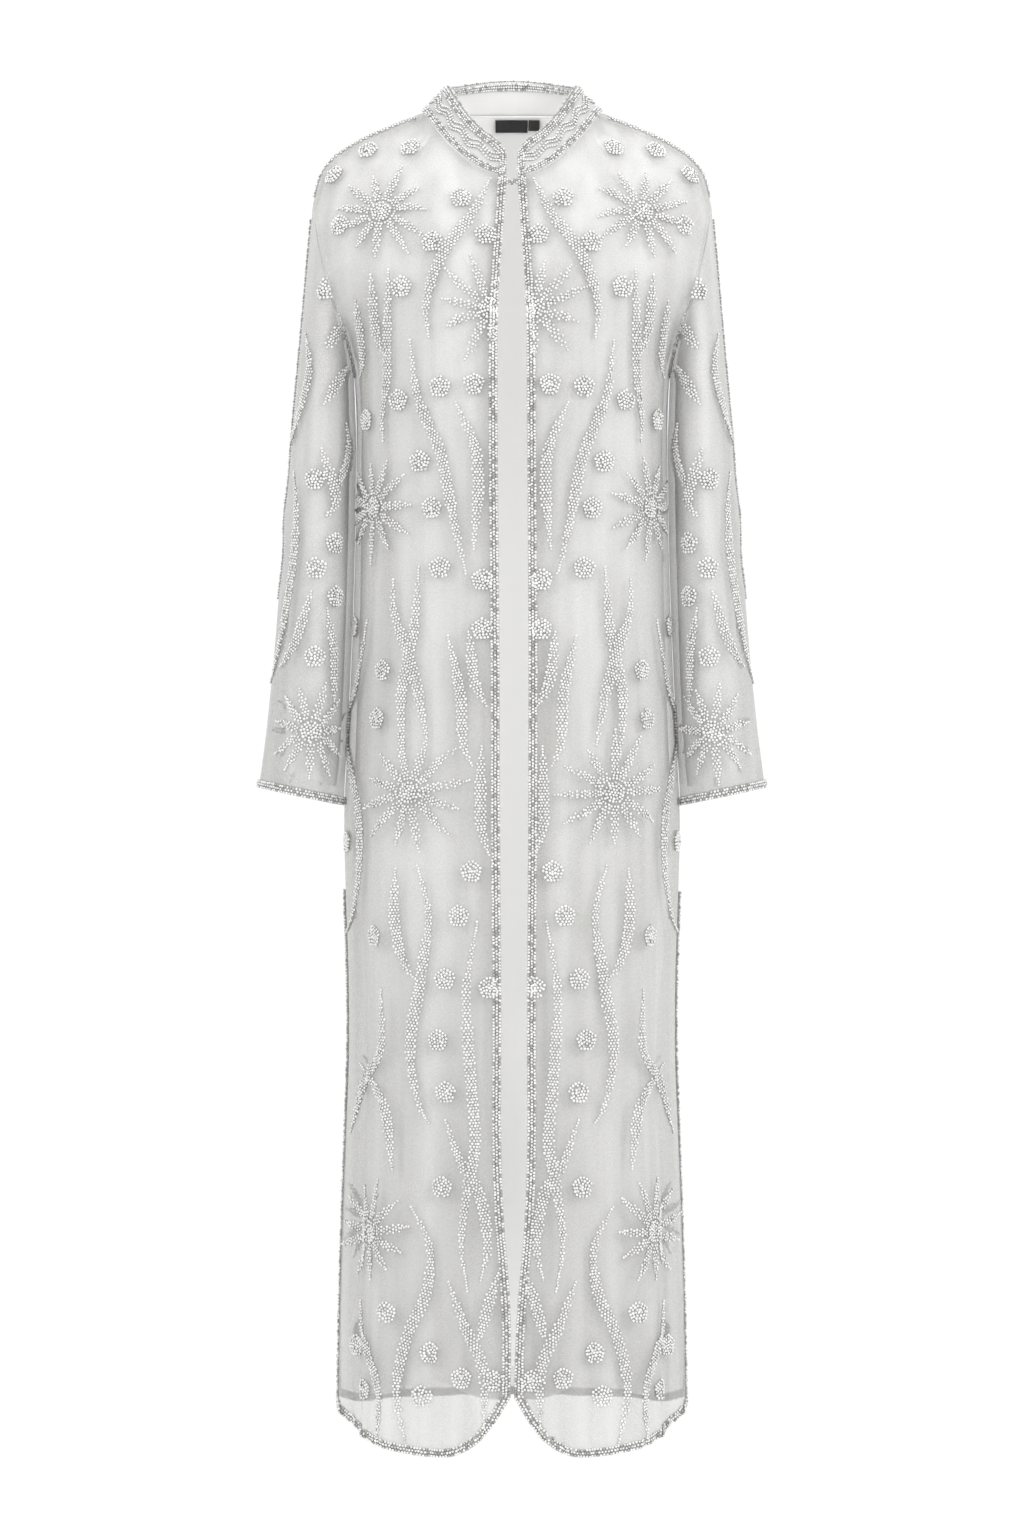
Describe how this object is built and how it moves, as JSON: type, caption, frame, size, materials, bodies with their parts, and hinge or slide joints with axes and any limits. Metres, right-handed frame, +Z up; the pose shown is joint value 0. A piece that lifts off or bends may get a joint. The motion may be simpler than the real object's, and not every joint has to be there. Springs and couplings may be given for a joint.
{
  "type": "kaftan",
  "caption": "Long sheer open-front kaftan with bead embroidery over an opaque lining, stand collar, long sleeves and side slits.",
  "frame": {"origin": "middle of the neck base, level with the high shoulder points, where the wearer's neck and shoulders hold the kaftan", "axes": "+Z up, the front faces -Y, +X towards the wearer's left sleeve"},
  "size_m": [0.5166, 0.269, 1.3851],
  "materials": {
    "mesh": "sheer, soft",
    "lining": "opaque satin",
    "beads": "pearl gloss",
    "label": "woven, plain"
  },
  "bodies": {
    "root": {"shell_front_left": "mesh", "shell_front_right": "mesh", "shell_back": "mesh", "sleeve_left": "mesh", "sleeve_right": "mesh", "collar": "mesh", "lining_front_left": "lining", "lining_front_right": "lining", "lining_back": "lining", "lining_sleeve_left": "lining", "lining_sleeve_right": "lining", "trim_front_left": "beads", "trim_front_right": "beads", "trim_back": "beads", "cuff_trim_left": "beads", "cuff_trim_right": "beads", "collar_foot_trim": "beads", "collar_edge_trim": "beads", "neck_hook": "beads", "neck_label": "label", "size_tab": "label"}
  },
  "joints": []
}
